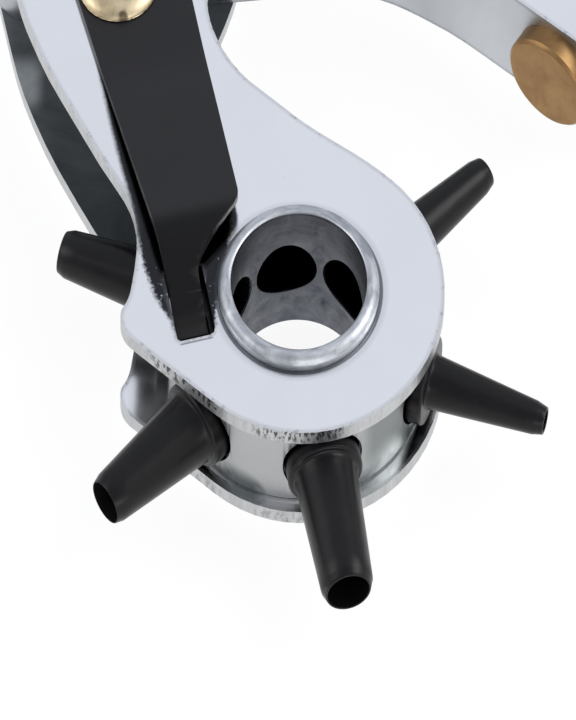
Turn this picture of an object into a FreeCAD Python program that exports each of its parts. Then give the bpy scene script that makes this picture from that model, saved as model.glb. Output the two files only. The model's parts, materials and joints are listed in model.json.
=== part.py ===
import FreeCAD, Part
import math
import os

# Revolving hole punch for leather, jaws open, lying flat. Millimetres and degrees.
# Origin: the turret's axis at mid thickness. +Z runs along that axis, towards the cheek
# that carries the index spring. The levers swing in the X-Y plane. "Near" is the +Z side,
# "far" the -Z side. A handle's inner edge faces the other handle.

V = FreeCAD.Vector
Z_AXIS = V(0, 0, 1)
ORIGIN = V(0, 0, 0)

# ---------------------------------------------------------------- driving dimensions
sheet_t = 1.6                    # lever sheet thickness
side_clear = 0.05                # running clearance per side between nested parts
journal_clear = 0.05             # radial clearance of the turning parts
turret_lever_half = 6.6          # half width over the turret lever's two cheeks
cheek_in = turret_lever_half - sheet_t
anvil_lever_half = cheek_in - side_clear
anvil_end_half = 5.95            # the anvil lever widens to this under the anvil

handle_len = 152.0
handle_deg = 126.0               # direction of the turret lever's handle from the pivot
jaw_angle = 12.3                 # from open to closed
pivot_at = (-21.5, 55.0)
bush_r = 5.5
pivot_shank_r = 4.0
pivot_head_r = 7.6
pivot_head_h = 1.7

lobe_r = 15.7                    # cheek lobe round the turret
lobe_centre = (0.3, 0.32)        # a little off the turret's axis
lobe_start_deg, lobe_mid_deg, lobe_end_deg = 51.0, -40.0, -126.0

drum_r = 14.2
drum_half = cheek_in - side_clear
drum_chamfer = 0.3
hub_r = 8.85
hub_half = 8.1
bore_r = 7.4

punch_first_deg = 41.8           # direction of the punch that faces the anvil
# Going clockwise from the anvil: cut diameter, radius of the cutting edge from the
# turret's axis, outer radius at the collar, where the bevel starts and at the cutting
# edge, length of the bevel
punch_table = [
    (2.5, 28.0, 2.55, 1.78, 1.48, 1.2),
    (2.0, 28.35, 2.45, 1.52, 1.23, 1.2),
    (4.5, 27.6, 3.4, 2.82, 2.42, 0.9),
    (4.0, 27.45, 3.4, 2.40, 2.10, 0.9),
    (3.5, 27.75, 3.05, 2.25, 1.92, 0.9),
    (3.0, 26.9, 2.85, 2.05, 1.70, 1.0),
]
punch_pitch_deg = 360.0 / len(punch_table)
shank_r = 3.4
shank_clear = 0.02
punch_in = 8.1                   # the shanks end this far from the turret's axis
collar_r = 4.1
collar_in, collar_out = 13.1, 15.4
recess_r = 4.35                  # recess in the drum round each collar

anvil_r = 5.2
anvil_t = 2.4
anvil_gap = 0.24                 # from the closed anvil to the longest punch
spigot_r = 2.2

index_t = 0.8                    # index spring
index_rivet_at = (-21.2, 34.2)
index_tip = (-11.9, -3.7)
index_head_r = 4.6
index_shank_r = 2.0
spacer_r = 3.4

notch_l, notch_n = 38.8, -0.28   # first notch for the index spring, in that spring's frame
notch_long, notch_wide, notch_depth = 2.4, 3.9, 0.8

opening_t, opening_half = 1.0, 3.1   # opening spring's thickness and half width
spring_rivet_l, spring_rivet_n = 38.0, 15.05   # its rivet, in the turret handle's frame
spring_rivet_r = 1.5

grip_from = 52.0
grip_half = 8.4


# ---------------------------------------------------------------- helpers
def direction(deg):
    return V(math.cos(math.radians(deg)), math.sin(math.radians(deg)), 0)


def frame_at(at, deg):
    """Maps (l, n) to (x, y): l along the direction deg from at, n to its right-hand side."""
    ahead, right = direction(deg), direction(deg - 90.0)
    return lambda l, n: (at[0] + l * ahead.x + n * right.x, at[1] + l * ahead.y + n * right.y)


def place(frame, points):
    return [frame(l, n) for l, n in points]


def mirrored(points):
    """The points in reverse order with their second coordinate negated."""
    return [(a, -b) for a, b in reversed(points)]


def interpolated(points):
    spline = Part.BSplineCurve()
    spline.interpolate(points)
    return spline.toShape()


def curve(points, start=None, end=None):
    """Line or smooth curve through (x, y) points; start and end are its end directions."""
    pts = [V(x, y, 0) for x, y in points]
    if len(pts) == 2:
        return Part.makeLine(pts[0], pts[1])
    if start is None:
        return interpolated(pts)
    spline = Part.BSplineCurve()
    spline.interpolate(Points=pts, InitialTangent=V(*start, 0), FinalTangent=V(*end, 0))
    return spline.toShape()


def curved_face(segments):
    return Part.Face(Part.Wire([curve(s) for s in segments]))


def polygon(vectors):
    return Part.Face(Part.makePolygon(vectors + [vectors[0]]))


def flat_polygon(points):
    return polygon([V(x, y, 0) for x, y in points])


def prism(flat, z0, z1):
    base = flat.copy()
    base.translate(V(0, 0, z0))
    return base.extrude(V(0, 0, z1 - z0))


def cylinder(r, z0, z1, at=(0.0, 0.0)):
    return Part.makeCylinder(r, z1 - z0, V(at[0], at[1], z0), Z_AXIS)


def through(r, at=(0.0, 0.0)):
    """Cutter for a hole along Z through everything."""
    return cylinder(r, -20, 20, at)


def spacer_tube(outer_r, inner_r, at):
    """Tube that fills the gap between the cheeks."""
    half = cheek_in - 0.01
    return cylinder(outer_r, -half, half, at).cut(through(inner_r, at))


def lathe(profile, base=ORIGIN, axis=Z_AXIS):
    """Solid of revolution from (radius, height) pairs about axis through base."""
    solid = polygon([V(r, 0, h) for r, h in profile]).revolve(ORIGIN, Z_AXIS, 360)
    solid.Placement = FreeCAD.Placement(base, FreeCAD.Rotation(Z_AXIS, axis))
    return solid


def one(shape):
    """Merges split faces and unwraps a single solid."""
    merged = shape.removeSplitter()
    return merged.Solids[0] if len(merged.Solids) == 1 else merged


def offset_points(points, distance):
    """Points moved to the left of the run they make."""
    moved = []
    for i, (x, y) in enumerate(points):
        before = points[max(i - 1, 0)]
        after = points[min(i + 1, len(points) - 1)]
        dx, dy = after[0] - before[0], after[1] - before[1]
        length = math.hypot(dx, dy)
        moved.append((x - dy / length * distance, y + dx / length * distance))
    return moved


def spline_face(flat):
    """The same flat face with its offset curves turned into ordinary splines."""
    edges = []
    for edge in flat.OuterWire.OrderedEdges:
        if isinstance(edge.Curve, (Part.Line, Part.Circle, Part.BSplineCurve)):
            edges.append(edge)
            continue
        pts = edge.discretize(Number=max(12, int(edge.Length / 1.5)))
        ends = [v.Point for v in edge.Vertexes]
        for i in (0, -1):
            pts[i] = min(ends, key=lambda p: p.distanceToPoint(pts[i]))
        edges.append(interpolated(pts))
    return Part.Face(Part.Wire(edges))


def web_faces(outline, mask):
    """Strips one sheet thick along the outline's edge, where the mask covers it."""
    ring = outline.cut(outline.makeOffset2D(-sheet_t)).common(mask)
    return [spline_face(f) for f in ring.Faces]


# ---------------------------------------------------------------- frames in the X-Y plane
turret_handle = frame_at(pivot_at, handle_deg)
anvil_handle = frame_at(pivot_at, handle_deg + jaw_angle)

# index spring: l runs from its rivet to its tip, n towards the cheek's ear
index_deg = math.degrees(math.atan2(index_tip[1] - index_rivet_at[1],
                                    index_tip[0] - index_rivet_at[0]))
index_frame = frame_at(index_rivet_at, index_deg)

# the anvil's face lies just beyond the longest punch when closed, then swings open
pivot = V(*pivot_at, 0)
anvil_closed = direction(punch_first_deg) * (max(row[1] for row in punch_table) + anvil_gap)
anvil_base = pivot + FreeCAD.Rotation(Z_AXIS, jaw_angle).multVec(anvil_closed - pivot)
seat_deg = punch_first_deg + jaw_angle       # from the anvil's face into its lever
seat_dir = direction(seat_deg)
seat_centre = anvil_base + seat_dir * anvil_t
# anvil seat: l towards the jaw's tip, n towards the drum
seat = frame_at((seat_centre.x, seat_centre.y), seat_deg - 90.0)

# ---------------------------------------------------------------- handle outline
# (l, n) in the turret handle's frame; mirrored for the anvil lever
handle_inner = [(55, 7.2), (75, 8.1), (95, 8.4), (115, 8.1), (135, 6.9), (handle_len - 5, 5.9)]
handle_outer = [(handle_len - 5, 17.1), (135, 19.2), (115, 20.7), (95, 21.4), (75, 21.3)]
handle_end = [handle_inner[-1], (handle_len - 1.2, 7.4), (handle_len, 11.4),
              (handle_len - 1.2, 15.6), handle_outer[0]]

# ---------------------------------------------------------------- turret lever's outline
# (x, y) points. The two cheeks differ a little beside the lobe and below the pivot.
ear = [
    (-17.2, -6.3), (-17.95, -5.77), (-18.6, -5.2), (-19.15, -4.4), (-19.42, -3.4),
    (-19.35, -2.6), (-18.95, -1.9), (-18.25, 0.6),
]
left_near = [
    (-17.93, 3.95), (-18.31, 7.9), (-19.34, 10.28), (-20.88, 12.5), (-22.86, 15.35),
    (-25.7, 19.85), (-28.65, 24.53), (-30.6, 28.3), (-32.06, 31.6), (-33.2, 35.1),
]
left_far = [
    (-17.95, 3.6), (-18.3, 6.8), (-19.3, 9.2), (-20.9, 11.7), (-22.9, 14.6),
    (-25.5, 18.6), (-28.4, 23.4), (-30.7, 27.9), (-32.3, 31.6), (-33.6, 35.6),
]
left_top = [(-34.75, 39.6), (-35.9, 44.0), (-36.6, 48.6)]
right_near = [(-8.15, 42.7), (-9.6, 38.6), (-10.75, 35.2), (-10.85, 32.4)]
right_far = [(-7.85, 42.7), (-9.2, 38.6), (-10.45, 35.2), (-10.8, 32.4)]
right_low = [(-9.6, 28.4), (-8.1, 26.0), (-6.2, 23.9), (-3.6, 21.9), (-0.1, 19.2), (4.9, 16.1)]

# two (l, n) stations of the outer edge, either side of the opening spring's rivet
web_station_out, web_station_in = (44, 18.4), (32, 16.2)
turret_inner = [left_top[-1]] + place(turret_handle, [
    (9.5, -13.2), (16.5, -8.2), (25, -1.2), (33, 3.4), (42, 5.9)] + handle_inner)
turret_outer = place(turret_handle, handle_outer + [
    (58, 20.3), web_station_out, web_station_in, (20, 14.6), (9, 14.6)]) + [
    (-8.4, 64.2), (-6.6, 57.8), (-6.2, 52.2), (-6.9, 47.0)]
outer_start_dir = (0.588, -0.809)
hip_dir = (-0.21, -1.0)          # where the outer edge passes into the right side
right_end_dir = (0.777, -0.629)


def lobe_point(deg):
    point = direction(deg) * lobe_r
    return lobe_centre[0] + point.x, lobe_centre[1] + point.y


def cheek_face(left, right):
    lobe_start, lobe_end = lobe_point(lobe_start_deg), lobe_point(lobe_end_deg)
    arc = Part.Arc(V(*lobe_start, 0), V(*lobe_point(lobe_mid_deg), 0), V(*lobe_end, 0))
    return Part.Face(Part.Wire([
        curve([lobe_end, ear[0]]),
        curve(ear + left + left_top),
        curve(turret_inner),
        curve(place(turret_handle, handle_end)),
        curve(turret_outer, outer_start_dir, hip_dir),
        curve([turret_outer[-1]] + right + right_low + [lobe_start], hip_dir, right_end_dir),
        arc.toShape(),
    ]))


# ---------------------------------------------------------------- anvil lever's outline
def anvil_lever_face():
    throat = place(seat, [(5.6, 0.0), (0, 0), (-8, 0), (-15.5, 0.15), (-19.3, 0.75)]) + [
        (9.1, 43.15), (4.3, 43.5), (-0.9, 43.0), (-5.0, 42.4), (-10.7, 41.8),
        (-17, 41.0), (-24, 40.2), (-31.0, 39.45)]
    heel = [throat[-1], (-33.3, 39.6), (-35.3, 41.2), (-36.3, 43.8), (-37.2, 46.0)]
    outer = [heel[-1], (-39.3, 49.8)] + place(anvil_handle, [
        (14.5, -17.3), (22, -16.9), (31, -17.3), (42, -18.6), (56, -20.2)]
        + mirrored(handle_outer))
    end = place(anvil_handle, mirrored(handle_end))
    inner = (
        place(anvil_handle, mirrored(handle_inner)
              + [(42, -5.4), (32, -2.2), (24, 2.4), (16, 8.4), (8, 12.0)])
        + [(-12.2, 64.6), (-5.5, 60.9), (4.0, 56.6), (14.0, 52.2)]
        + place(seat, [(-12, -11.6), (-4, -10.6), (3.0, -9.6)]))
    tip = [inner[-1]] + place(seat, [(6.4, -8.2), (7.6, -5.0), (7.3, -2.0), (5.6, 0.0)])
    return curved_face([throat, heel, outer, end, inner, tip])


# ---------------------------------------------------------------- levers
def make_turret_lever(near_face, far_face):
    """Two cheeks joined by a web along the handle's outer edge."""
    web_mask = flat_polygon(place(turret_handle, [
        (15.5, 40), (handle_len + 20, 40), (handle_len + 20, 11.5), (120, 14.5),
        (60, 13.5), (15.5, 8.5)]))
    webs = [prism(f, -turret_lever_half, turret_lever_half)
            for f in web_faces(near_face, web_mask)]
    cheek_near = prism(near_face, cheek_in, turret_lever_half)
    cheek_far = prism(far_face, -turret_lever_half, -cheek_in)
    lever = cheek_near.fuse([cheek_far] + webs)
    lever = lever.cut(through(hub_r + journal_clear))
    lever = lever.cut(through(pivot_shank_r, pivot_at))
    lever = lever.cut(through(index_shank_r, index_rivet_at))

    # slot in the near cheek for the index spring's tip
    slot_from, slot_to, slot_lo, slot_hi = 33.3, 40.9, -2.62, 1.66
    slot = flat_polygon(place(index_frame, [
        (slot_from, slot_lo), (slot_to - 0.7, slot_lo), (slot_to - 0.2, slot_lo + 0.2),
        (slot_to, slot_lo + 0.7), (slot_to, slot_hi - 0.3), (slot_to - 0.3, slot_hi),
        (slot_from, slot_hi)]))
    lever = lever.cut(prism(slot, cheek_in - 1, turret_lever_half + 1))

    # hole through the web for the opening spring's rivet
    hole_base = V(*turret_handle(spring_rivet_l, 0), 0)
    lever = lever.cut(Part.makeCylinder(spring_rivet_r, 60, hole_base,
                                        direction(handle_deg - 90.0)))
    return one(lever)


def between(stations, lower, upper):
    """Solid between two heights given at x stations, running the whole way along Y."""
    outline = list(zip(stations, lower)) + list(reversed(list(zip(stations, upper))))
    return polygon([V(x, -120, z) for x, z in outline]).extrude(V(0, 500, 0))


def make_anvil_lever(outline):
    """Channel nested between the cheeks, wider under the anvil, with a web along its
    handle's outer edge, its heel and its throat."""
    web_mask = flat_polygon(
        place(seat, [(40, 60), (12, -0.9), (4.0, -4.6), (-14, -5.5)])
        + [(8.0, 48.5), (-8, 48.0), (-28, 46.5)]
        + place(anvil_handle, [(10, -12.5), (40, -13), (70, -15.0), (120, -14.5),
                               (handle_len + 20, -11.5), (handle_len + 20, -60)])
        + [(-90, -20), (60, -60)])
    webs = web_faces(outline, web_mask)

    stations = [-200.0, 1.0, 15.0, 80.0]     # the channel widens between the middle two
    outside = [anvil_lever_half, anvil_lever_half, anvil_end_half, anvil_end_half]
    inside = [z - sheet_t for z in outside]
    outside_far, inside_far = [-z for z in outside], [-z for z in inside]
    near = between(stations, inside, outside)
    far = between(stations, outside_far, inside_far)
    full = between(stations, outside_far, outside)

    block = prism(outline, -9, 9)
    lever = block.common(near).fuse(
        [block.common(far)] + [prism(f, -9, 9).common(full) for f in webs])
    lever = lever.cut(through(bush_r + journal_clear, pivot_at))
    lever = lever.cut(Part.makeCylinder(spigot_r, 12, anvil_base, seat_dir))
    return one(lever)


# ---------------------------------------------------------------- anvil and pivot
def make_anvil(lever):
    """Disc with a spigot peened behind the lever's web."""
    back = anvil_t + sheet_t
    disc = lathe([
        (0, 0), (anvil_r - 0.35, 0), (anvil_r, 0.35), (anvil_r, anvil_t),
        (spigot_r, anvil_t), (spigot_r, back), (3.0, back), (2.5, back + 0.9),
        (0, back + 1.1)], anvil_base, seat_dir)
    return one(disc.cut(lever))


def make_pivot_rivet():
    seat_z = turret_lever_half
    top_z = seat_z + pivot_head_h
    upper = [
        (pivot_shank_r, seat_z), (pivot_head_r, seat_z), (pivot_head_r, seat_z + 0.35),
        (pivot_head_r - 0.7, top_z - 0.6), (pivot_head_r - 2.6, top_z), (0, top_z)]
    return lathe(mirrored(upper) + upper, pivot)


# ---------------------------------------------------------------- turret
def make_drum():
    """Drum with a hub ring at each end, radial punch sockets and index notches."""
    plain_from = shank_r + 0.4       # the bore's wall is plain beyond this height
    rim = [(drum_r, drum_half - drum_chamfer), (drum_r - drum_chamfer, drum_half),
           (hub_r, drum_half)]
    bead = [                         # rounded end of each hub ring
        (hub_r, hub_half - 0.95), (hub_r - 0.05, hub_half - 0.65),
        (hub_r - 0.19, hub_half - 0.39), (hub_r - 0.40, hub_half - 0.18),
        (hub_r - 0.66, hub_half - 0.05), (hub_r - 0.95, hub_half),
        (bore_r + 0.24, hub_half - 0.05), (bore_r + 0.07, hub_half - 0.15),
        (bore_r, hub_half - 0.3)]
    drum = lathe(mirrored(rim + bead) + rim + bead
                 + [(bore_r, plain_from), (bore_r, -plain_from)])
    for k in range(len(punch_table)):
        outward = direction(punch_first_deg - punch_pitch_deg * k)
        drum = drum.cut(Part.makeCylinder(shank_r, drum_r + 2, ORIGIN, outward))
        recess_base = outward * (collar_in - 0.02)
        drum = drum.cut(Part.makeCylinder(recess_r, 4, recess_base, outward))
    for k in range(len(punch_table)):
        corner = V(-notch_long / 2, -notch_wide / 2, drum_half - notch_depth)
        notch = Part.makeBox(notch_long, notch_wide, 2 * notch_depth, corner)
        notch.rotate(ORIGIN, Z_AXIS, index_deg)
        notch.translate(V(*index_frame(notch_l, notch_n), 0))
        notch.rotate(ORIGIN, Z_AXIS, -punch_pitch_deg * k)
        drum = drum.cut(notch)
    return drum.Solids[0]


def make_punch(k):
    """Tapered tube with a collar; heights are distances from the turret's axis."""
    size, reach, root_r, end_r, edge_r, bevel = punch_table[k]
    cut_r = size / 2
    relief_r = cut_r + 0.35          # the bore opens out behind the cutting end
    profile = [
        (cut_r, reach), (edge_r, reach), (end_r, reach - bevel),
        (root_r, collar_out + 0.45), (root_r + 0.09, collar_out + 0.14),
        (root_r + 0.28, collar_out), (collar_r - 0.2, collar_out),
        (collar_r, collar_out - 0.2), (collar_r, collar_in),
        (shank_r - shank_clear, collar_in), (shank_r - shank_clear, punch_in),
        (shank_r - 0.3, punch_in), (shank_r - 0.45, 9.6),
        (relief_r, 14.0), (relief_r, 19.0), (cut_r, 20.0)]
    return lathe(profile, axis=direction(punch_first_deg - punch_pitch_deg * k))


# ---------------------------------------------------------------- index spring
def make_index_spring():
    """Flat leaf on the near cheek, raised at its middle, tip down through the slot."""
    seat_z = turret_lever_half
    # underside: distance from the rivet, rise above the cheek
    rises = [
        (-9.5, 0), (8.5, 0), (11.0, 0.08), (14.0, 0.40), (20.0, 0.98), (25.0, 1.42),
        (28.0, 1.66), (29.6, 1.72), (31.0, 1.46), (32.4, 0.90), (34.0, 0.20),
        (36.0, -0.70), (37.6, -1.42), (38.7, -1.86), (39.6, -2.08)]
    under = [(l, seat_z + rise) for l, rise in rises]
    over = offset_points(under, index_t)
    half_sweep = 20.0                # beyond the leaf's edges on both sides

    low = [V(*index_frame(l, -half_sweep), z) for l, z in under]
    high = [V(*index_frame(l, -half_sweep), z) for l, z in over]
    side = Part.Face(Part.Wire([
        Part.makeLine(low[0], low[1]),
        interpolated(low[1:]),
        Part.makeLine(low[-1], high[-1]),
        interpolated(high[1:]),
        Part.makeLine(high[1], high[0]),
        Part.makeLine(high[0], low[0]),
    ]))
    leaf = side.extrude(direction(index_deg - 90.0) * (2 * half_sweep))

    # plan of the leaf, (l, n) in its own frame
    plan = [
        [(41.0, -1.97), (41.0, 1.45)],
        [(41.0, 1.45), (36.0, 1.47)],
        [(36.0, 1.47), (34.6, 1.5), (33.2, 1.6), (31.2, 1.76)],
        [(31.2, 1.76), (-4.0, 5.27)],
        [(-4.0, 5.27), (-6.4, 4.7), (-8.4, 2.4), (-9.2, -1.4), (-8.4, -5.1),
         (-6.0, -7.35), (-3.4, -7.95)],
        [(-3.4, -7.95), (27.2, -7.95)],
        [(27.2, -7.95), (27.9, -7.9), (28.5, -7.65), (29.1, -7.08)],
        [(29.1, -7.08), (29.9, -6.12), (31.2, -4.56), (32.6, -3.02), (33.3, -2.42),
         (34.05, -2.07), (35.0, -1.97), (36.2, -1.96)],
        [(36.2, -1.96), (41.0, -1.97)],
    ]
    plan_face = curved_face([place(index_frame, segment) for segment in plan])
    spring = leaf.common(prism(plan_face, 2, 12))
    spring = spring.cut(through(index_shank_r + 0.05, index_rivet_at))
    # nothing of the seated part may dip below the cheek's face
    floor = flat_polygon(place(index_frame, [(-12, -12), (30, -12), (30, 12), (-12, 12)]))
    return one(spring.cut(prism(floor, 0, seat_z)))


def make_index_rivet():
    bottom_z = -turret_lever_half
    head_z = turret_lever_half + index_t
    return lathe([
        (0, bottom_z - 1.0), (2.4, bottom_z - 1.0), (3.5, bottom_z - 0.5), (3.5, bottom_z),
        (index_shank_r, bottom_z), (index_shank_r, head_z), (index_head_r, head_z),
        (index_head_r, head_z + 0.3), (index_head_r - 0.35, head_z + 0.75),
        (index_head_r - 1.1, head_z + 1.1), (1.6, head_z + 1.3), (0, head_z + 1.34)],
        V(*index_rivet_at, 0))


# ---------------------------------------------------------------- opening spring
def make_opening_spring_set(turret_lever, anvil_lever):
    """Bent leaf between the handles, its rivet, and the turret lever with the collar
    that meets the leaf round that rivet."""
    # middle of the leaf's thickness, (l, n) in the turret handle's frame
    middle = [
        (47.0, 16.55), (spring_rivet_l, spring_rivet_n), (32.0, 13.75), (26.2, 10.6),
        (22.6, 5.2), (21.9, -1.2), (23.3, -7.25), (26.55, -13.55), (30.66, -18.71),
        (34.23, -22.25), (37.78, -24.63), (40.7, -25.82), (44.02, -26.46)]
    side_a = place(turret_handle, offset_points(middle, opening_t / 2))
    side_b = place(turret_handle, offset_points(middle, -opening_t / 2))
    leaf_face = curved_face([side_a, [side_a[-1], side_b[-1]], side_b, [side_b[0], side_a[0]]])
    spring = prism(leaf_face, -opening_half, opening_half)

    # the rivet stands square to the web, which slopes along the handle
    web_slope = ((web_station_out[1] - web_station_in[1])
                 / (web_station_out[0] - web_station_in[0]))
    outward = direction(handle_deg - 90.0) - direction(handle_deg) * web_slope
    outward.normalize()
    base = V(*turret_handle(spring_rivet_l, spring_rivet_n), 0)
    hole_base = base - outward * 4

    spring = spring.cut(Part.makeCylinder(spring_rivet_r, 8, hole_base, outward))
    spring = one(spring.cut(turret_lever).cut(anvil_lever))
    inner_z = -opening_t / 2 - 0.02
    rivet = lathe([
        (0, -1.7), (1.9, -1.7), (2.6, -1.1), (2.6, inner_z), (spring_rivet_r, inner_z),
        (spring_rivet_r, 2.0), (3.2, 1.6), (3.2, 2.6), (2.5, 3.15), (1.2, 3.45), (0, 3.5)],
        base, outward)
    collar = Part.makeCylinder(spring_rivet_r + 0.6, 1.4, base + outward * 0.72, outward)
    hole = Part.makeCylinder(spring_rivet_r, 12, hole_base, outward)
    turret_lever = one(turret_lever.fuse(collar).cut(hole))
    spring = one(spring.cut(turret_lever))
    rivet = one(rivet.cut(turret_lever).cut(spring))
    return turret_lever, spring, rivet


# ---------------------------------------------------------------- grips
# (l, n) in the turret handle's frame; n is negated for the anvil lever
grip_line = [
    (grip_from, 5.05), (58, 5.5), (75, 6.2), (95, 6.5), (115, 6.15), (135, 4.95),
    (145.5, 4.0), (150.4, 4.75), (153.2, 7.6), (154.1, 11.5), (153.3, 15.4),
    (150.3, 18.4), (145.5, 19.6), (135, 21.15), (115, 22.65), (95, 23.3), (75, 23.2),
    (58, 22.25), (grip_from, 21.6),
]


def is_long_rim(edge):
    """True for the long edges that lie in the grip's near or far face."""
    box = edge.BoundBox
    flat = any(abs(box.ZMin - z) < 1e-4 and abs(box.ZMax - z) < 1e-4
               for z in (grip_half, -grip_half))
    return flat and edge.Length > 40


def make_grip(lever_face, frame, lever_half, side):
    """Sleeve with rounded rims, hollowed by the handle inside it."""
    box = flat_polygon(place(frame, [
        (grip_from - 1, -60), (handle_len + 40, -60), (handle_len + 40, 60),
        (grip_from - 1, 60)]))
    handle = lever_face.common(box).Faces[0]
    line = [frame(l, side * n) for l, n in grip_line]
    body = prism(curved_face([line, [line[-1], line[0]]]), -grip_half, grip_half)
    for radius in (3.1, 2.6, 2.0, 1.4):
        # a fillet too large for the outline raises; the next smaller one is then used
        try:
            body = body.makeFillet(radius, [e for e in body.Edges if is_long_rim(e)])
            break
        except Part.OCCError:
            continue
    return one(body.cut(prism(handle, -lever_half, lever_half)))


# ---------------------------------------------------------------- build and export
turret_face = cheek_face(left_near, right_near)
anvil_face = anvil_lever_face()
anvil_lever = make_anvil_lever(anvil_face)
turret_lever, opening_spring, spring_rivet = make_opening_spring_set(
    make_turret_lever(turret_face, cheek_face(left_far, right_far)), anvil_lever)

nodes = {
    "turret_lever": turret_lever,
    "turret_grip": make_grip(turret_face, turret_handle, turret_lever_half, 1),
    "pivot_rivet": make_pivot_rivet(),
    "pivot_bush": spacer_tube(bush_r, pivot_shank_r, pivot_at),
    "index_rivet": make_index_rivet(),
    "rivet_spacer": spacer_tube(spacer_r, index_shank_r, index_rivet_at),
    "index_spring": make_index_spring(),
    "turret_drum": make_drum(),
    "anvil_lever": anvil_lever,
    "anvil": make_anvil(anvil_lever),
    "anvil_grip": make_grip(anvil_face, anvil_handle, anvil_lever_half, -1),
    "opening_spring": opening_spring,
    "spring_rivet": spring_rivet,
}
for k, row in enumerate(punch_table):
    nodes["punch_%s_mm" % str(row[0]).replace(".", "_")] = make_punch(k)

os.makedirs("parts", exist_ok=True)
for name, shape in nodes.items():
    shape.exportStep(os.path.join("parts", name + ".step"))
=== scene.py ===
import bpy, bmesh, json, math
from mathutils import Matrix, Vector


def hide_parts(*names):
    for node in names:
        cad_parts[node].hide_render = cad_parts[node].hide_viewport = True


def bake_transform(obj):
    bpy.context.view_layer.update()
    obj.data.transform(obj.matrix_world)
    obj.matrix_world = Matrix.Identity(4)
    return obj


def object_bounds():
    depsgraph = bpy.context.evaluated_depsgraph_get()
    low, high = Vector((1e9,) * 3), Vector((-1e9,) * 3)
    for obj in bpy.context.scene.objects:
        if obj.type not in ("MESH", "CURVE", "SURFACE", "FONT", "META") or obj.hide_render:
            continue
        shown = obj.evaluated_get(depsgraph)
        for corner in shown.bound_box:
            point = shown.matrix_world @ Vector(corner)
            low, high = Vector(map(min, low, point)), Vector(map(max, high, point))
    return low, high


MM = 0.001
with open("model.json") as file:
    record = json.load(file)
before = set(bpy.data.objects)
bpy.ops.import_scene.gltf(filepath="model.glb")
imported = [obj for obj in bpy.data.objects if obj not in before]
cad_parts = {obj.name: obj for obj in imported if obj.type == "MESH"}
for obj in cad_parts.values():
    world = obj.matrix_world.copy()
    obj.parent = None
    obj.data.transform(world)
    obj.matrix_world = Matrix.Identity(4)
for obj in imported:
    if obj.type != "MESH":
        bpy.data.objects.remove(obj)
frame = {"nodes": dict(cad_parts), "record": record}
N = frame["nodes"]
cad_lo, cad_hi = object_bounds()
cad_lo, cad_hi = Vector(cad_lo), Vector(cad_hi)
scene = bpy.context.scene


# ------------------------------------------------------------------ node helpers
def mat(name):
    m = bpy.data.materials.new(name)
    m.use_nodes = True
    m.node_tree.nodes.clear()
    return m, m.node_tree.nodes, m.node_tree.links


def node(ns, kind, **kw):
    n = ns.new(kind)
    for k, v in kw.items():
        setattr(n, k, v)
    return n


def ramp(ns, ls, src, stops):
    r = ns.new("ShaderNodeValToRGB")
    els = r.color_ramp.elements
    while len(els) < len(stops):
        els.new(0.5)
    for e, (p, c) in zip(els, stops):
        e.position = p
        e.color = (c, c, c, 1) if not isinstance(c, tuple) else (c[0], c[1], c[2], 1)
    ls.new(src, r.inputs[0])
    return r.outputs[0]


def math_node(ns, ls, op, a, b=None, c=None):
    n = ns.new("ShaderNodeMath")
    n.operation = op
    for i, v in enumerate((a, b, c)):
        if v is None:
            continue
        if isinstance(v, (int, float)):
            n.inputs[i].default_value = v
        else:
            ls.new(v, n.inputs[i])
    return n.outputs[0]


def mix_col(ns, ls, fac, a, b, blend="MIX"):
    n = ns.new("ShaderNodeMix")
    n.data_type = "RGBA"
    n.blend_type = blend
    for sock, v in ((n.inputs[0], fac), (n.inputs[6], a), (n.inputs[7], b)):
        if isinstance(v, (int, float)):
            sock.default_value = v
        elif isinstance(v, tuple):
            sock.default_value = (v[0], v[1], v[2], 1)
        else:
            ls.new(v, sock)
    return n.outputs[2]


def noise(ns, ls, vec, scale, detail=4.0, rough=0.55, dist=0.0):
    n = ns.new("ShaderNodeTexNoise")
    n.inputs["Scale"].default_value = scale
    n.inputs["Detail"].default_value = detail
    n.inputs["Roughness"].default_value = rough
    n.inputs["Distortion"].default_value = dist
    ls.new(vec, n.inputs["Vector"])
    return n.outputs[0]


def coords(ns, ls, scale=(1, 1, 1), rot=(0, 0, 0), loc=(0, 0, 0)):
    t = ns.new("ShaderNodeTexCoord")
    m = ns.new("ShaderNodeMapping")
    m.inputs["Scale"].default_value = scale
    m.inputs["Rotation"].default_value = rot
    m.inputs["Location"].default_value = loc
    ls.new(t.outputs["Object"], m.inputs["Vector"])
    return m.outputs[0]


def bump(ns, ls, height, strength, dist, normal=None):
    b = ns.new("ShaderNodeBump")
    b.inputs["Strength"].default_value = strength
    b.inputs["Distance"].default_value = dist
    ls.new(height, b.inputs["Height"])
    if normal is not None:
        ls.new(normal, b.inputs["Normal"])
    return b.outputs[0]


def principled(ns, ls, **kw):
    p = ns.new("ShaderNodeBsdfPrincipled")
    o = ns.new("ShaderNodeOutputMaterial")
    ls.new(p.outputs[0], o.inputs[0])
    for k, v in kw.items():
        sock = p.inputs[k]
        if isinstance(v, (int, float)):
            sock.default_value = v
        elif isinstance(v, tuple):
            sock.default_value = (*v, 1) if len(v) == 3 and sock.type == "RGBA" else v
        else:
            ls.new(v, sock)
    return p


def obj_normal(ns, ls):
    g = ns.new("ShaderNodeTexCoord")
    s = ns.new("ShaderNodeSeparateXYZ")
    ls.new(g.outputs["Normal"], s.inputs[0])
    return s.outputs


def obj_xyz(ns, ls):
    g = ns.new("ShaderNodeTexCoord")
    s = ns.new("ShaderNodeSeparateXYZ")
    ls.new(g.outputs["Object"], s.inputs[0])
    return s.outputs


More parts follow.
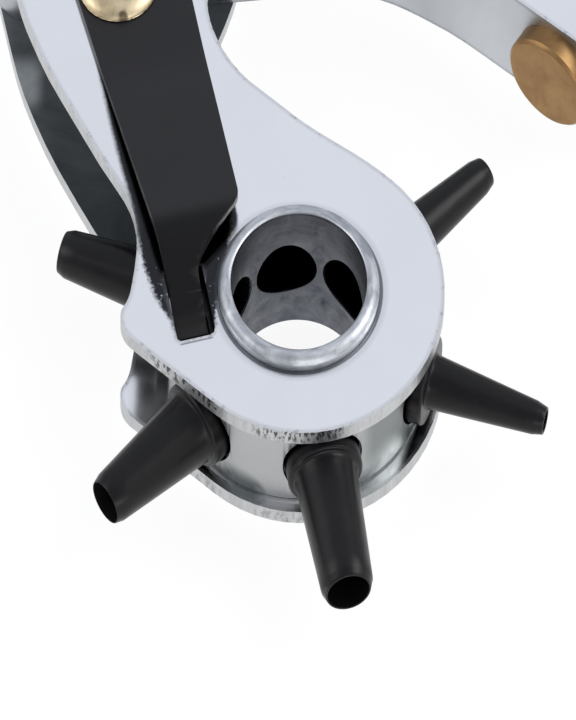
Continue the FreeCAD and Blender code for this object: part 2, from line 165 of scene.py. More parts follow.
# ------------------------------------------------------------------ materials
def window(ns, ls, src, lo, hi, soft):
    """1 between lo and hi, falling to 0 over soft on either side."""
    outs = []
    for a, b in ((lo - soft, lo), (hi + soft, hi)):
        m = ns.new("ShaderNodeMapRange")
        m.interpolation_type = "SMOOTHSTEP"
        ls.new(src, m.inputs[0])
        m.inputs["From Min"].default_value = a
        m.inputs["From Max"].default_value = b
        outs.append(m.outputs[0])
    return math_node(ns, ls, "MULTIPLY", *outs)


def zinc_sheet(edged=True):
    """Bright zinc plate on rolled sheet: faint mottling, a few pits; painted shade inside the channels, with a painted
    patch of light; sheared edges greyer, streaked and speckled.
    """
    m, ns, ls = mat("zinc_sheet_look" if edged else "zinc_web_look")
    v = coords(ns, ls)
    x, y, z = obj_xyz(ns, ls)
    nz = obj_normal(ns, ls)[2]
    level = math_node(ns, ls, "GREATER_THAN", math_node(ns, ls, "ABSOLUTE", nz), 0.75)
    flat = level if edged else math_node(ns, ls, "GREATER_THAN", math_node(ns, ls, "ABSOLUTE", nz), -1.0)
    cloud = noise(ns, ls, v, 90, 5, 0.6, 0.6)
    grain = noise(ns, ls, v, 1400, 3, 0.6)
    scr = coords(ns, ls, scale=(1, 0.03, 1), rot=(0, 0, math.radians(24)))
    scratch = ramp(ns, ls, noise(ns, ls, scr, 900, 2, 0.5, 0.3), [(0.62, 0.0), (0.68, 1.0)])
    streak_v = coords(ns, ls, scale=(1, 1, 0.06))
    streak = noise(ns, ls, streak_v, 900, 4, 0.7)
    face_c = mix_col(ns, ls, ramp(ns, ls, cloud, [(0.3, 0.0), (0.75, 1.0)]), (0.925, 0.928, 0.938), (0.965, 0.968, 0.978))
    # a few small pits
    cell = ns.new("ShaderNodeTexVoronoi")
    cell.inputs["Scale"].default_value = 620
    ls.new(v, cell.inputs["Vector"])
    pick = ns.new("ShaderNodeSeparateColor")
    ls.new(cell.outputs["Color"], pick.inputs[0])
    pits = math_node(ns, ls, "MULTIPLY", ramp(ns, ls, cell.outputs["Distance"], [(0.045, 1.0), (0.085, 0.0)]), math_node(ns, ls, "GREATER_THAN", pick.outputs[0], 0.90))
    face_c = mix_col(ns, ls, math_node(ns, ls, "MULTIPLY", pits, 0.5), face_c, (0.35, 0.35, 0.36))
    # rolled border of the outline: painted shade where the edge rolls over, greyer, with small chips
    geo = ns.new("ShaderNodeNewGeometry")
    bev = ns.new("ShaderNodeBevel")
    bev.samples = 6
    bev.inputs[0].default_value = 0.00085
    dot = ns.new("ShaderNodeVectorMath")
    dot.operation = "DOT_PRODUCT"
    ls.new(bev.outputs[0], dot.inputs[0])
    ls.new(geo.outputs["Normal"], dot.inputs[1])
    border = ramp(ns, ls, dot.outputs["Value"], [(0.94, 1.0), (0.998, 0.0)])
    chips = ramp(ns, ls, noise(ns, ls, v, 1100, 3, 0.7), [(0.55, 0.0), (0.64, 1.0)])
    r = math_node(ns, ls, "SQRT", math_node(ns, ls, "ADD", math_node(ns, ls, "MULTIPLY", x, x), math_node(ns, ls, "MULTIPLY", y, y)))
    # inward faces away from the drum: dull, painted dark as shade broken up by noise, with a painted patch of light on
    # the far cheek
    inward = math_node(ns, ls, "LESS_THAN", math_node(ns, ls, "MULTIPLY", nz, z), 0.0)
    up = window(ns, ls, y, 0.004, 1.0, 0.004)
    out_r = window(ns, ls, r, 0.0172, 1.0, 0.003)
    inside = math_node(ns, ls, "MULTIPLY", math_node(ns, ls, "MULTIPLY", inward, level), math_node(ns, ls, "MULTIPLY", up, out_r))
    shade_mottle = ramp(ns, ls, noise(ns, ls, v, 55, 5, 0.65, 1.2), [(0.35, 0.90), (0.7, 1.0)])
    glow = math_node(ns, ls, "MULTIPLY", window(ns, ls, y, 0.0308, 0.0328, 0.003), window(ns, ls, x, -0.037, -0.0312, 0.002))
    glow = math_node(ns, ls, "MULTIPLY", glow, ramp(ns, ls, noise(ns, ls, v, 180, 3, 0.5, 0.8), [(0.3, 0.6), (0.6, 1.0)]))
    edge_c = mix_col(ns, ls, ramp(ns, ls, streak, [(0.25, 0.0), (0.8, 1.0)]), (0.44, 0.45, 0.46), (0.66, 0.67, 0.68))
    # speckle where the shear tore the edge, in two stretches of the lobe
    ang = math_node(ns, ls, "ARCTAN2", y, x)
    torn = math_node(ns, ls, "MAXIMUM", window(ns, ls, ang, math.radians(-152), math.radians(-126), 0.10), window(ns, ls, ang, math.radians(-104), math.radians(-74), 0.10))
    torn = math_node(ns, ls, "MULTIPLY_ADD", torn, 0.80, 0.10)
    torn = math_node(ns, ls, "MULTIPLY", torn, math_node(ns, ls, "MULTIPLY_ADD", window(ns, ls, math_node(ns, ls, "ABSOLUTE", z), 0.0058, 0.0070, 0.0010), 0.8, 0.2))
    torn = math_node(ns, ls, "MULTIPLY", torn, math_node(ns, ls, "MULTIPLY_ADD", math_node(ns, ls, "GREATER_THAN", z, 0.0), 0.62, 0.38))
    speck = ramp(ns, ls, noise(ns, ls, coords(ns, ls, scale=(1, 1, 0.4)), 2400, 3, 0.7), [(0.49, 0.0), (0.56, 1.0)])
    edge_c = mix_col(ns, ls, math_node(ns, ls, "MULTIPLY", speck, torn), edge_c, (0.035, 0.035, 0.037))
    # walls of the index spring's slot: painted near-black shade
    kx, ky = math.cos(math.radians(-76.213)), math.sin(math.radians(-76.213))
    dx = math_node(ns, ls, "SUBTRACT", x, -0.0212)
    dy = math_node(ns, ls, "SUBTRACT", y, 0.0342)
    kl = math_node(ns, ls, "ADD", math_node(ns, ls, "MULTIPLY", dx, kx), math_node(ns, ls, "MULTIPLY", dy, ky))
    kn = math_node(ns, ls, "ADD", math_node(ns, ls, "MULTIPLY", dx, ky), math_node(ns, ls, "MULTIPLY", dy, -kx))
    slot_wall = math_node(ns, ls, "MULTIPLY", window(ns, ls, kl, 0.0325, 0.0404, 0.0002), window(ns, ls, kn, -0.0029, 0.0019, 0.0002))
    edge_c = mix_col(ns, ls, slot_wall, edge_c, (0.012, 0.012, 0.014))
    # painted reflection and shade of the black spring in the plating on both sides of its lower half, breaking up into
    # painted glints and speckle at the end
    def along_l(stops):
        c = ns.new("ShaderNodeFloatCurve")
        m = ns.new("ShaderNodeMapRange")
        ls.new(kl, m.inputs[0])
        m.inputs["From Min"].default_value = 0.0
        m.inputs["From Max"].default_value = 0.042
        ls.new(m.outputs[0], c.inputs["Value"])
        cv = c.mapping.curves[0]
        pts = [(l / 42.0, (n + 10.0) / 20.0) for l, n in stops]
        cv.points[0].location = pts[0]
        cv.points[1].location = pts[-1]
        for q in pts[1:-1]:
            cv.points.new(*q)
        for q in cv.points:
            q.handle_type = "VECTOR"
        c.mapping.update()
        return math_node(ns, ls, "MULTIPLY_ADD", c.outputs[0], 0.020, -0.010)

    gritty = noise(ns, ls, v, 2300, 3, 0.7)
    left_n = along_l([(0.0, 4.6), (5.6, 4.16), (10.5, 4.2), (15.3, 4.15), (20.5, 3.95), (24.5, 3.65), (28.3, 3.75), (32.2, 3.7), (35.4, 3.25), (37.0, 2.75), (38.6, 2.05), (42.0, 1.7)])
    right_n = along_l([(0.0, -6.0), (26.5, -6.9), (27.7, -7.3), (30.0, -6.7), (32.1, -6.0), (34.2, -5.2), (36.2, -4.5), (37.5, -3.5), (39.4, -2.95), (42.0, -2.7)])
    rag = math_node(ns, ls, "MULTIPLY", math_node(ns, ls, "SUBTRACT", gritty, 0.5), math_node(ns, ls, "MULTIPLY_ADD", window(ns, ls, kl, 0.034, 0.1, 0.012), 0.0008, 0.0003))
    gap_l = math_node(ns, ls, "ADD", math_node(ns, ls, "SUBTRACT", left_n, kn), rag)
    gap_r = math_node(ns, ls, "ADD", math_node(ns, ls, "SUBTRACT", kn, right_n), rag)
    soft_l = window(ns, ls, gap_l, 0.00045, 1.0, 0.00065)
    soft_r = window(ns, ls, gap_r, 0.00035, 1.0, 0.00050)
    mirror = math_node(ns, ls, "MULTIPLY", math_node(ns, ls, "MULTIPLY", soft_l, soft_r), window(ns, ls, kl, 0.0060, 0.0392, 0.0020))
    mirror = math_node(ns, ls, "MULTIPLY", mirror, math_node(ns, ls, "MULTIPLY", flat, math_node(ns, ls, "GREATER_THAN", z, 0.0060)))
    glints = math_node(ns, ls, "MULTIPLY", ramp(ns, ls, noise(ns, ls, v, 1700, 3, 0.6), [(0.66, 0.0), (0.72, 1.0)]), window(ns, ls, kl, 0.0310, 0.1, 0.008))
    mirror = math_node(ns, ls, "MULTIPLY", mirror, math_node(ns, ls, "SUBTRACT", 1.0, math_node(ns, ls, "MULTIPLY", glints, 0.55)))
    face_c = mix_col(ns, ls, math_node(ns, ls, "MULTIPLY", mirror, 0.97), face_c, (0.006, 0.007, 0.010))
    # pressed lip past the slot's end: a painted highlight band with a thin painted shadow line below it
    lip = math_node(ns, ls, "MULTIPLY", window(ns, ls, kn, -0.0020, 0.0013, 0.0003), math_node(ns, ls, "MULTIPLY", flat, math_node(ns, ls, "GREATER_THAN", z, 0.0060)))
    lip_shadow_line = math_node(ns, ls, "MULTIPLY", lip, window(ns, ls, kl, 0.04122, 0.04130, 0.00010))
    lip_highlight = math_node(ns, ls, "MULTIPLY", lip, window(ns, ls, kl, 0.0404, 0.04110, 0.00012))
    # painted shade around the hub: a thin dark line in the gap at its base and a soft grey halo beyond, weaker inside
    # the painted spring reflection
    hub_gap_shade = math_node(ns, ls, "MULTIPLY", window(ns, ls, r, 0.0088, 0.00918, 0.00014), flat)
    hub_shade_halo = math_node(ns, ls, "MULTIPLY", window(ns, ls, r, 0.0092, 0.0094, 0.0007), math_node(ns, ls, "SUBTRACT", 0.22, math_node(ns, ls, "MULTIPLY", mirror, 0.22)))
    face_c = mix_col(ns, ls, math_node(ns, ls, "MULTIPLY", hub_gap_shade, 0.85), face_c, (0.05, 0.055, 0.065))
    face_c = mix_col(ns, ls, hub_shade_halo, face_c, (0.30, 0.32, 0.36))
    face_c = mix_col(ns, ls, lip_highlight, face_c, (0.97, 0.97, 0.98))
    face_c = mix_col(ns, ls, math_node(ns, ls, "MULTIPLY", lip_shadow_line, 0.6), face_c, (0.05, 0.05, 0.055))
    if not edged:
        # bent web: upright faces painted greyer as shade, with long soft bands of painted shade
        soft = noise(ns, ls, coords(ns, ls, scale=(1, 1, 0.4)), 60, 3, 0.5, 0.8)
        web_c = mix_col(ns, ls, ramp(ns, ls, soft, [(0.3, 0.0), (0.7, 1.0)]), (0.38, 0.40, 0.43), (0.60, 0.62, 0.65))
        face_c = mix_col(ns, ls, level, web_c, face_c)
    col = mix_col(ns, ls, flat, edge_c, face_c)
    # painted shade colour for the inward faces, lighter where the painted light patch falls
    dark = mix_col(ns, ls, glow, (0.0, 0.010, 0.016), (0.42, 0.46, 0.48))
    col = mix_col(ns, ls, math_node(ns, ls, "MULTIPLY", inside, math_node(ns, ls, "MULTIPLY", shade_mottle, 0.95)), col, dark)
    edging = math_node(ns, ls, "MULTIPLY", math_node(ns, ls, "MULTIPLY", border, flat), math_node(ns, ls, "GREATER_THAN", r, 0.0102))
    edging = math_node(ns, ls, "MULTIPLY", edging, math_node(ns, ls, "SUBTRACT", 1.0, inside))
    col = mix_col(ns, ls, math_node(ns, ls, "MULTIPLY", edging, math_node(ns, ls, "MULTIPLY_ADD", chips, 0.45, 0.38)), col, (0.24, 0.25, 0.26))
    r_face = math_node(ns, ls, "MULTIPLY_ADD", cloud, 0.07, 0.115)
    r_face = math_node(ns, ls, "MULTIPLY_ADD", scratch, 0.04, r_face)
    r_face = math_node(ns, ls, "MULTIPLY_ADD", edging, 0.22, r_face)
    r_face = math_node(ns, ls, "ADD", r_face, math_node(ns, ls, "MULTIPLY", math_node(ns, ls, "SUBTRACT", 1.0, level), 0.25))
    r_edge = math_node(ns, ls, "MULTIPLY_ADD", streak, 0.25, 0.30)
    mixr = ns.new("ShaderNodeMix")
    ls.new(flat, mixr.inputs[0]); ls.new(r_edge, mixr.inputs[2]); ls.new(r_face, mixr.inputs[3])
    b1 = bump(ns, ls, noise(ns, ls, v, 260, 2, 0.5), 0.05, 0.0002)
    b2 = bump(ns, ls, grain, 0.06, 0.00004, b1)
    b3 = bump(ns, ls, math_node(ns, ls, "MULTIPLY", streak, math_node(ns, ls, "SUBTRACT", 1.0, flat)), 0.5, 0.0001, b2)
    b4 = bump(ns, ls, math_node(ns, ls, "SUBTRACT", 1.0, pits), 0.25, 0.00005, b3)
    metal = math_node(ns, ls, "SUBTRACT", 1.0, math_node(ns, ls, "MULTIPLY", inside, 0.85))
    spec = math_node(ns, ls, "MULTIPLY_ADD", inside, -0.44, 0.5)
    principled(ns, ls, **{"Base Color": col, "Metallic": metal, "Roughness": mixr.outputs[0], "Normal": b4, "Specular IOR Level": spec})
    return m


def turned_steel():
    """Zinc-plated turned steel: circular tool marks about the turret's axis on the ends, fine rings down the walls,
    painted shade in the bore, the sockets and on the end faces under the cheeks.
    """
    m, ns, ls = mat("turned_steel_look")
    x, y, z = obj_xyz(ns, ls)
    r = math_node(ns, ls, "SQRT", math_node(ns, ls, "ADD", math_node(ns, ls, "MULTIPLY", x, x), math_node(ns, ls, "MULTIPLY", y, y)))
    comb = ns.new("ShaderNodeCombineXYZ")
    ls.new(math_node(ns, ls, "MULTIPLY", r, 1.0), comb.inputs[0])
    ls.new(z, comb.inputs[2])
    rings = noise(ns, ls, comb.outputs[0], 3600, 3, 0.65)
    rings2 = noise(ns, ls, comb.outputs[0], 800, 2, 0.5)
    v = coords(ns, ls)
    cloud = noise(ns, ls, v, 140, 4, 0.6, 0.5)
    patch = noise(ns, ls, v, 420, 4, 0.65, 0.8)
    col = mix_col(ns, ls, ramp(ns, ls, cloud, [(0.3, 0.0), (0.75, 1.0)]), (0.60, 0.62, 0.63), (0.76, 0.775, 0.78))
    # painted shade down the bore: dark patchy tone with darker fine rings
    bore = ns.new("ShaderNodeMapRange")
    ls.new(r, bore.inputs[0])
    bore.inputs["From Min"].default_value = 0.00755
    bore.inputs["From Max"].default_value = 0.00745
    dark = mix_col(ns, ls, ramp(ns, ls, patch, [(0.3, 0.0), (0.7, 1.0)]), (0.036, 0.042, 0.054), (0.175, 0.183, 0.203))
    dark = mix_col(ns, ls, ramp(ns, ls, rings2, [(0.35, 0.0), (0.7, 0.6)]), dark, (0.17, 0.18, 0.21))
    col = mix_col(ns, ls, bore.outputs[0], col, dark)
    # painted near-black shade inside the punch sockets
    socket = math_node(ns, ls, "MULTIPLY", math_node(ns, ls, "GREATER_THAN", r, 0.00760), math_node(ns, ls, "LESS_THAN", r, 0.01405))
    socket = math_node(ns, ls, "MULTIPLY", socket, math_node(ns, ls, "LESS_THAN", math_node(ns, ls, "ABSOLUTE", z), 0.0046))
    col = mix_col(ns, ls, socket, col, (0.05, 0.05, 0.05))
    # outer wall: duller and darker, with painted shade in noisy patches next to the far cheek and painted shade on the
    # lower right side
    wall = window(ns, ls, r, 0.01395, 0.03, 0.0001)
    far_cheek_shade = math_node(ns, ls, "MULTIPLY", window(ns, ls, z, -0.006, -0.0040, 0.0022), ramp(ns, ls, noise(ns, ls, v, 150, 4, 0.6, 1.0), [(0.46, 0.0), (0.60, 1.0)]))
    wall_c = mix_col(ns, ls, math_node(ns, ls, "MULTIPLY", far_cheek_shade, 0.8), (0.45, 0.46, 0.465), (0.08, 0.10, 0.10))
    shade = math_node(ns, ls, "MULTIPLY", window(ns, ls, x, 0.0085, 0.03, 0.002), window(ns, ls, y, -0.03, -0.002, 0.002))
    wall_c = mix_col(ns, ls, math_node(ns, ls, "MULTIPLY", shade, 0.6), wall_c, (0.13, 0.155, 0.15))
    col = mix_col(ns, ls, wall, col, wall_c)
    nz = obj_normal(ns, ls)[2]
    # painted near-black shade on the drum's end faces under the cheeks
    under = math_node(ns, ls, "MULTIPLY", math_node(ns, ls, "GREATER_THAN", math_node(ns, ls, "ABSOLUTE", nz), 0.75), window(ns, ls, r, 0.0090, 0.0139, 0.00005))
    col = mix_col(ns, ls, under, col, (0.03, 0.03, 0.032))
    # hub ring: bluish slopes, streaked
    hub = math_node(ns, ls, "MULTIPLY", window(ns, ls, r, 0.00755, 0.00895, 0.00004), math_node(ns, ls, "GREATER_THAN", math_node(ns, ls, "ABSOLUTE", z), 0.0066))
    turned = ns.new("ShaderNodeCombineXYZ")
    ls.new(math_node(ns, ls, "MULTIPLY", math_node(ns, ls, "DIVIDE", x, r), 0.0016), turned.inputs[0])
    ls.new(math_node(ns, ls, "MULTIPLY", math_node(ns, ls, "DIVIDE", y, r), 0.0016), turned.inputs[1])
    ls.new(math_node(ns, ls, "ADD", r, z), turned.inputs[2])
    streaks = noise(ns, ls, turned.outputs[0], 1900, 4, 0.65, 0.4)
    hub_c = mix_col(ns, ls, ramp(ns, ls, streaks, [(0.36, 0.0), (0.64, 1.0)]), (0.25, 0.27, 0.31), (0.62, 0.64, 0.68))
    col = mix_col(ns, ls, math_node(ns, ls, "MULTIPLY", hub, 0.75), col, hub_c)
    rough = math_node(ns, ls, "MULTIPLY_ADD", rings2, 0.18, 0.18)
    rough = math_node(ns, ls, "MULTIPLY_ADD", wall, 0.16, rough)
    rough = math_node(ns, ls, "MULTIPLY_ADD", hub, 0.22, rough)
    rough = math_node(ns, ls, "MULTIPLY_ADD", bore.outputs[0], 0.14, rough)
    b = bump(ns, ls, rings, 0.40, 0.00004)
    b = bump(ns, ls, rings2, 0.28, 0.00008, b)
    b = bump(ns, ls, patch, 0.15, 0.00008, b)
    principled(ns, ls, **{"Base Color": col, "Metallic": 1.0, "Roughness": rough, "Normal": b})
    return m


def black_steel():
    """Black oxide, satin: slightly mottled sheen with fine turning lines; worn brighter at sharp edges."""
    m, ns, ls = mat("black_steel_look")
    v = coords(ns, ls)
    cloud = noise(ns, ls, v, 260, 4, 0.6, 0.4)
    fine = noise(ns, ls, v, 2600, 2, 0.6)
    geo = ns.new("ShaderNodeNewGeometry")
    wear = ramp(ns, ls, geo.outputs["Pointiness"], [(0.54, 0.0), (0.62, 1.0)])
    wear = math_node(ns, ls, "MULTIPLY", wear, ramp(ns, ls, fine, [(0.35, 0.0), (0.7, 1.0)]))
    col = mix_col(ns, ls, cloud, (0.0035, 0.0033, 0.0040), (0.010, 0.0097, 0.0110))
    x, y, z = obj_xyz(ns, ls)
    r = math_node(ns, ls, "SQRT", math_node(ns, ls, "ADD", math_node(ns, ls, "MULTIPLY", x, x), math_node(ns, ls, "MULTIPLY", y, y)))
    outer = window(ns, ls, r, 0.0150, 1.0, 0.0008)
    col = mix_col(ns, ls, math_node(ns, ls, "MULTIPLY", math_node(ns, ls, "MULTIPLY", wear, outer), 0.35), col, (0.14, 0.14, 0.145))
    # painted black shade, with no specular, on the punch parts inside the drum
    col = mix_col(ns, ls, outer, (0.0, 0.0, 0.0), col)
    rough = math_node(ns, ls, "MULTIPLY_ADD", cloud, 0.14, 0.25)
    b = bump(ns, ls, fine, 0.14, 0.00004)
    principled(ns, ls, **{"Base Color": col, "Metallic": 0.0, "Roughness": rough, "Normal": b, "Specular IOR Level": math_node(ns, ls, "MULTIPLY", outer, 0.23)})
    return m


def black_spring():
    """Blackened spring strip: matte, long faint rolling lines, lighter sheared edge."""
    m, ns, ls = mat("black_spring_look")
    v = coords(ns, ls)
    long_v = coords(ns, ls, scale=(1, 0.05, 1), rot=(0, 0, math.radians(-13.8)))
    lines = noise(ns, ls, long_v, 1500, 3, 0.6)
    cloud = noise(ns, ls, v, 120, 4, 0.6, 0.5)
    fine = noise(ns, ls, v, 3000, 2, 0.6)
    flat = math_node(ns, ls, "GREATER_THAN", math_node(ns, ls, "ABSOLUTE", obj_normal(ns, ls)[2]), 0.75)
    col = mix_col(ns, ls, cloud, (0.0065, 0.0062, 0.0072), (0.0105, 0.010, 0.0115))
    col = mix_col(ns, ls, flat, (0.030, 0.030, 0.032), col)
    x, y, z = obj_xyz(ns, ls)
    kx, ky = math.cos(math.radians(-76.213)), math.sin(math.radians(-76.213))
    kl = math_node(ns, ls, "ADD", math_node(ns, ls, "MULTIPLY", math_node(ns, ls, "SUBTRACT", x, -0.0212), kx), math_node(ns, ls, "MULTIPLY", math_node(ns, ls, "SUBTRACT", y, 0.0342), ky))
    # painted shade at the bend and neck of the leaf
    neck = window(ns, ls, kl, 0.0300, 0.0372, 0.0022)
    neck = math_node(ns, ls, "MULTIPLY", neck, window(ns, ls, y, -1.0, 0.030, 0.001))
    col = mix_col(ns, ls, math_node(ns, ls, "MULTIPLY", neck, 0.72), col, (0.0, 0.0, 0.0))
    # painted shade on the tip's last facet down in the slot: a flat dark brownish tone with less sheen
    low = window(ns, ls, z, 0.0, 0.00565, 0.0004)
    col = mix_col(ns, ls, math_node(ns, ls, "MULTIPLY", low, window(ns, ls, kl, 0.0384, 0.05, 0.0002)), col, (0.010, 0.0095, 0.009))
    tip = math_node(ns, ls, "MULTIPLY", low, window(ns, ls, kl, 0.0384, 0.05, 0.0002))
    spec = math_node(ns, ls, "MULTIPLY_ADD", neck, -0.14, 0.36)
    spec = math_node(ns, ls, "MULTIPLY_ADD", tip, -0.08, spec)
    rough = math_node(ns, ls, "MULTIPLY_ADD", lines, 0.10, 0.34)
    b = bump(ns, ls, lines, 0.06, 0.00005)
    b = bump(ns, ls, fine, 0.12, 0.00003, b)
    principled(ns, ls, **{"Base Color": col, "Metallic": 0.0, "Roughness": rough, "Normal": b, "Specular IOR Level": spec})
    return m


def brass(name, c1, c2, r0, r1, seat=False):
    m, ns, ls = mat(name)
    v = coords(ns, ls)
    cloud = noise(ns, ls, v, 230, 5, 0.6, 0.8)
    fine = noise(ns, ls, v, 2200, 3, 0.6)
    scr = coords(ns, ls, scale=(1, 0.06, 0.4), rot=(0, 0, math.radians(50)))
    scratch = ramp(ns, ls, noise(ns, ls, scr, 1800, 2, 0.5), [(0.58, 0.0), (0.66, 1.0)])
    col = mix_col(ns, ls, ramp(ns, ls, cloud, [(0.3, 0.0), (0.75, 1.0)]), c1, c2)
    if seat:
        x, y, z = obj_xyz(ns, ls)
        d2 = math_node(ns, ls, "ADD", math_node(ns, ls, "POWER", math_node(ns, ls, "SUBTRACT", x, -0.02045), 2.0), math_node(ns, ls, "POWER", math_node(ns, ls, "SUBTRACT", y, 0.02985), 2.0))
        d2 = math_node(ns, ls, "ADD", math_node(ns, ls, "SQRT", d2), math_node(ns, ls, "MULTIPLY_ADD", fine, 0.0006, -0.0003))
        mark = window(ns, ls, math_node(ns, ls, "MULTIPLY", d2, -1.0), -0.00032, 1.0, 0.0004)
        col = mix_col(ns, ls, math_node(ns, ls, "MULTIPLY", mark, 0.85), col, (0.05, 0.035, 0.02))
        stain = ramp(ns, ls, noise(ns, ls, v, 520, 4, 0.65, 1.0), [(0.5, 0.0), (0.75, 1.0)])
        col = mix_col(ns, ls, math_node(ns, ls, "MULTIPLY", stain, 0.55), col, (0.34, 0.27, 0.16))
    rough = math_node(ns, ls, "MULTIPLY_ADD", cloud, r1 - r0, r0)
    rough = math_node(ns, ls, "MULTIPLY_ADD", scratch, 0.08, rough)
    b = bump(ns, ls, fine, 0.14, 0.00004)
    b = bump(ns, ls, cloud, 0.18, 0.00012, b)
    principled(ns, ls, **{"Base Color": col, "Metallic": 1.0, "Roughness": rough, "Normal": b})
    return m


def rivet_steel():
    m, ns, ls = mat("rivet_steel_look")
    v = coords(ns, ls)
    cloud = noise(ns, ls, v, 300, 4, 0.6, 0.6)
    fine = noise(ns, ls, v, 2400, 2, 0.6)
    col = mix_col(ns, ls, cloud, (0.56, 0.57, 0.58), (0.76, 0.77, 0.78))
    rough = math_node(ns, ls, "MULTIPLY_ADD", cloud, 0.2, 0.2)
    b = bump(ns, ls, cloud, 0.25, 0.00015)
    b = bump(ns, ls, fine, 0.1, 0.00004, b)
    principled(ns, ls, **{"Base Color": col, "Metallic": 1.0, "Roughness": rough, "Normal": b})
    return m


def grip_vinyl():
    """Dipped black vinyl: fine pebble, soft sheen."""
    m, ns, ls = mat("grip_vinyl_look")
    v = coords(ns, ls)
    pebble = ns.new("ShaderNodeTexVoronoi")
    pebble.inputs["Scale"].default_value = 1500
    ls.new(v, pebble.inputs["Vector"])
    cloud = noise(ns, ls, v, 60, 4, 0.6, 0.4)
    col = mix_col(ns, ls, cloud, (0.006, 0.006, 0.0065), (0.014, 0.014, 0.015))
    rough = math_node(ns, ls, "MULTIPLY_ADD", cloud, 0.2, 0.42)
    b = bump(ns, ls, pebble.outputs["Distance"], 0.35, 0.00008)
    b = bump(ns, ls, noise(ns, ls, v, 200, 2, 0.5), 0.15, 0.0003, b)
    principled(ns, ls, **{"Base Color": col, "Metallic": 0.0, "Roughness": rough, "Normal": b, "Specular IOR Level": 0.45})
    return m


M = {
    "zinc_sheet": zinc_sheet(),
    "turned_steel": turned_steel(),
    "black_steel": black_steel(),
    "black_spring": black_spring(),
    "brass": brass("brass_look", (0.245, 0.135, 0.055), (0.385, 0.232, 0.102), 0.34, 0.50),
    "rivet_brass": brass("rivet_brass_look", (0.66, 0.53, 0.33), (0.80, 0.68, 0.46), 0.32, 0.52, seat=True),
    "rivet_steel": rivet_steel(),
    "grip_black": grip_vinyl(),
}
slot_of = {s["node"]: s["material_slot"] for s in frame["record"]["subparts"]}


def dress(o, slot):
    o.data.materials.clear()
    o.data.materials.append(M[slot])


# ------------------------------------------------------------------ CAD pieces: rounded edges and finish
def soften(o, width, segs=2, angle=32, weld=True):
    if weld:
        w = o.modifiers.new("weld", "WELD")
        w.merge_threshold = 2e-7
    b = o.modifiers.new("round", "BEVEL")
    b.width = width * MM
    b.segments = segs
    b.limit_method = "ANGLE"
    b.angle_limit = math.radians(angle)
    b.use_clamp_overlap = True
    b.harden_normals = False
    b.miter_outer = "MITER_ARC"
    wn = o.modifiers.new("normals", "WEIGHTED_NORMAL")
    wn.weight = 60
    wn.keep_sharp = False
    for p in o.data.polygons:
        p.use_smooth = True


widths = {"turret_lever": 0.25, "anvil_lever": 0.25, "turret_drum": 0.08, "pivot_rivet": 0.25, "pivot_bush": 0.1, "index_rivet": 0.15, "rivet_spacer": 0.1,
          "anvil": 0.20, "spring_rivet": 0.15, "turret_grip": 0.4, "anvil_grip": 0.4}
plain_sheet = zinc_sheet(edged=False)
for n, o in N.items():
    dress(o, slot_of[n])
    if n == "anvil_lever":
        o.data.materials[0] = plain_sheet
    soften(o, widths.get(n, 0.06))


# ------------------------------------------------------------------ springs: rounded copies, the index leaf sliced every 1 mm along its length
def copy_mesh(n, name):
    me = N[n].data.copy()
    me.name = name
    o = bpy.data.objects.new(name, me)
    scene.collection.objects.link(o)
    bm = bmesh.new()
    bm.from_mesh(me)
    bmesh.ops.remove_doubles(bm, verts=bm.verts, dist=2e-7)
    return o, bm


def finish_mesh(o, bm, width, angle=30):
    edges = [e for e in bm.edges if e.is_manifold and e.calc_face_angle(0) > math.radians(angle)]
    bmesh.ops.bevel(bm, geom=edges, offset=width * MM, segments=2, affect="EDGES", profile=0.5, clamp_overlap=True)
    for f in bm.faces:
        f.smooth = True
    bm.to_mesh(o.data)
    bm.free()
    wn = o.modifiers.new("normals", "WEIGHTED_NORMAL")
    wn.weight = 60


sa = math.radians(-76.213)
axis = Vector((math.cos(sa), math.sin(sa), 0))
riv = Vector((-21.2, 34.2, 0))
leaf, bm = copy_mesh("index_spring", "index_spring_leaf")
s = -9.0
while s < 40.0:
    geom = bm.verts[:] + bm.edges[:] + bm.faces[:]
    bmesh.ops.bisect_plane(bm, geom=geom, plane_co=(riv + axis * s) * MM, plane_no=axis, dist=1e-7)
    s += 1.0
finish_mesh(leaf, bm, 0.1)
dress(leaf, "black_spring")
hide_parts("index_spring")
z_top = 0.0066
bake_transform(leaf)

op, bm = copy_mesh("opening_spring", "opening_spring_leaf")
finish_mesh(op, bm, 0.12)
dress(op, "black_spring")
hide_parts("opening_spring")


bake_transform(op)

# ------------------------------------------------------------------ floor and light
floor_z = cad_lo.z - 0.00002
bpy.ops.mesh.primitive_plane_add(size=6.0, location=(0, 0, floor_z))
floor = bpy.context.object
floor.name = "floor"
fm, ns, ls = mat("floor_paper")
v = coords(ns, ls)
tone = mix_col(ns, ls, noise(ns, ls, v, 6, 2, 0.5), (0.988, 0.988, 0.99), (0.995, 0.995, 0.995))
d = node(ns, "ShaderNodeBsdfDiffuse")
ls.new(tone, d.inputs[0])
em = node(ns, "ShaderNodeEmission")
ls.new(tone, em.inputs[0])
em.inputs[1].default_value = 1.03
mx = node(ns, "ShaderNodeMixShader")
mx.inputs[0].default_value = 0.90
ls.new(d.outputs[0], mx.inputs[1]); ls.new(em.outputs[0], mx.inputs[2])
out = node(ns, "ShaderNodeOutputMaterial")
ls.new(mx.outputs[0], out.inputs[0])
floor.data.materials.append(fm)

world = bpy.data.worlds.new("studio")
scene.world = world
world.use_nodes = True
wn_, wl = world.node_tree.nodes, world.node_tree.links
wn_.clear()
tc = wn_.new("ShaderNodeTexCoord")
sep = wn_.new("ShaderNodeSeparateXYZ")
wl.new(tc.outputs["Generated"], sep.inputs[0])


def band(src, lo, hi):
    m = wn_.new("ShaderNodeMapRange")
    m.interpolation_type = "SMOOTHSTEP"
    m.inputs["From Min"].default_value = lo
    m.inputs["From Max"].default_value = hi
    wl.new(src, m.inputs[0])
    return m.outputs[0]


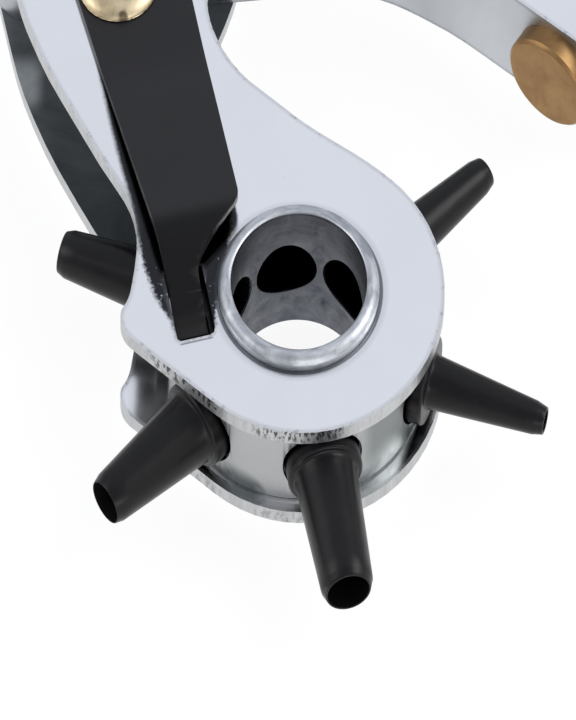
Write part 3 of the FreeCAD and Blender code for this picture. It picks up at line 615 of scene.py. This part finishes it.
def toward(direction):
    d = Vector(direction).normalized()
    n = wn_.new("ShaderNodeVectorMath")
    n.operation = "DOT_PRODUCT"
    n.inputs[1].default_value = d
    wl.new(tc.outputs["Generated"], n.inputs[0])
    return n.outputs["Value"]


def over(fac, a, b):
    n = wn_.new("ShaderNodeMix")
    n.data_type = "RGBA"
    wl.new(fac, n.inputs[0])
    for sock, v in ((n.inputs[6], a), (n.inputs[7], b)):
        if isinstance(v, tuple):
            sock.default_value = (*v, 1)
        else:
            wl.new(v, sock)
    return n.outputs[2]


sky = over(band(sep.outputs[2], 0.02, 0.35), (0.90, 0.90, 0.91), (0.42, 0.43, 0.46))
sky = over(band(toward((0, 0.594, 0.805)), 0.62, 0.90), sky, (0.70, 0.73, 0.80))
sky = over(band(toward((0.80, -0.10, 0.55)), 0.86, 0.97), sky, (1.25, 1.25, 1.25))
sky = over(band(toward((-0.85, 0.15, 0.50)), 0.90, 0.98), sky, (0.95, 0.96, 1.0))
bg = wn_.new("ShaderNodeBackground")
bg.inputs[1].default_value = 1.0
wl.new(sky, bg.inputs[0])
wo = wn_.new("ShaderNodeOutputWorld")
wl.new(bg.outputs[0], wo.inputs[0])


def softbox(name, loc, look, size, power, colour=(1, 1, 1)):
    ld = bpy.data.lights.new(name, "AREA")
    ld.shape = "RECTANGLE"
    ld.size, ld.size_y = size
    ld.energy = power
    ld.color = colour
    o = bpy.data.objects.new(name, ld)
    scene.collection.objects.link(o)
    o.location = loc
    o.rotation_mode = "QUATERNION"
    o.rotation_quaternion = (Vector(look) - Vector(loc)).to_track_quat("-Z", "Y")
    return o


softbox("key_right", (0.75, 0.15, 0.75), (0, 0.03, 0), (0.6, 0.6), 4)
softbox("fill_left", (-0.9, -0.1, 0.7), (0, 0.03, 0), (0.7, 0.7), 3)
softbox("front_strip", (0.35, -0.9, 0.30), (0, 0.0, 0), (0.8, 0.2), 2)

# ------------------------------------------------------------------ camera: a shift lens
cd = bpy.data.cameras.new("camera")
cam = bpy.data.objects.new("camera", cd)
scene.collection.objects.link(cam)
scene.camera = cam
CAM = {"rv": (1.8636, 0.0174, 0.0004), "T": (0.0045, 501.6527, 670.2591), "f": 6096.93, "cx": 298.1772, "cy": -4228.7958}


def rotation(rv):
    v = Vector(rv)
    return Matrix.Rotation(v.length, 3, v.normalized())


R = rotation(CAM["rv"])
C = -(R.transposed() @ Vector(CAM["T"])) * MM
rot = Matrix((R[0], -R[1], -R[2])).transposed()
cam.matrix_world = Matrix.Translation(C) @ rot.to_4x4()
cd.sensor_fit = "AUTO"
cd.sensor_width = 36.0
cd.lens = CAM["f"] / 720.0 * 36.0
cd.clip_start, cd.clip_end = 0.05, 20.0
shift = {"shift_x": (288.0 - CAM["cx"]) / 720.0, "shift_y": (CAM["cy"] - 360.0) / 720.0}
for prop, value in shift.items():
    setattr(cd, prop, value)
    fc = cd.driver_add(prop)
    for mod in list(fc.modifiers):
        fc.modifiers.remove(mod)
    drv = fc.driver
    drv.type = "AVERAGE"
    var = drv.variables.new()
    var.name = "reach"
    var.type = "LOC_DIFF"
    var.targets[0].id = cam
    var.targets[1].id = floor
    fc.keyframe_points.clear()
    for kx, ky in ((0.0, value), (1.4, value), (1.8, 0.0), (12.0, 0.0)):
        kp = fc.keyframe_points.insert(kx, ky)
        kp.interpolation = "LINEAR"
    fc.extrapolation = "CONSTANT"

scene.view_settings.view_transform = "Standard"
scene.view_settings.look = "None"
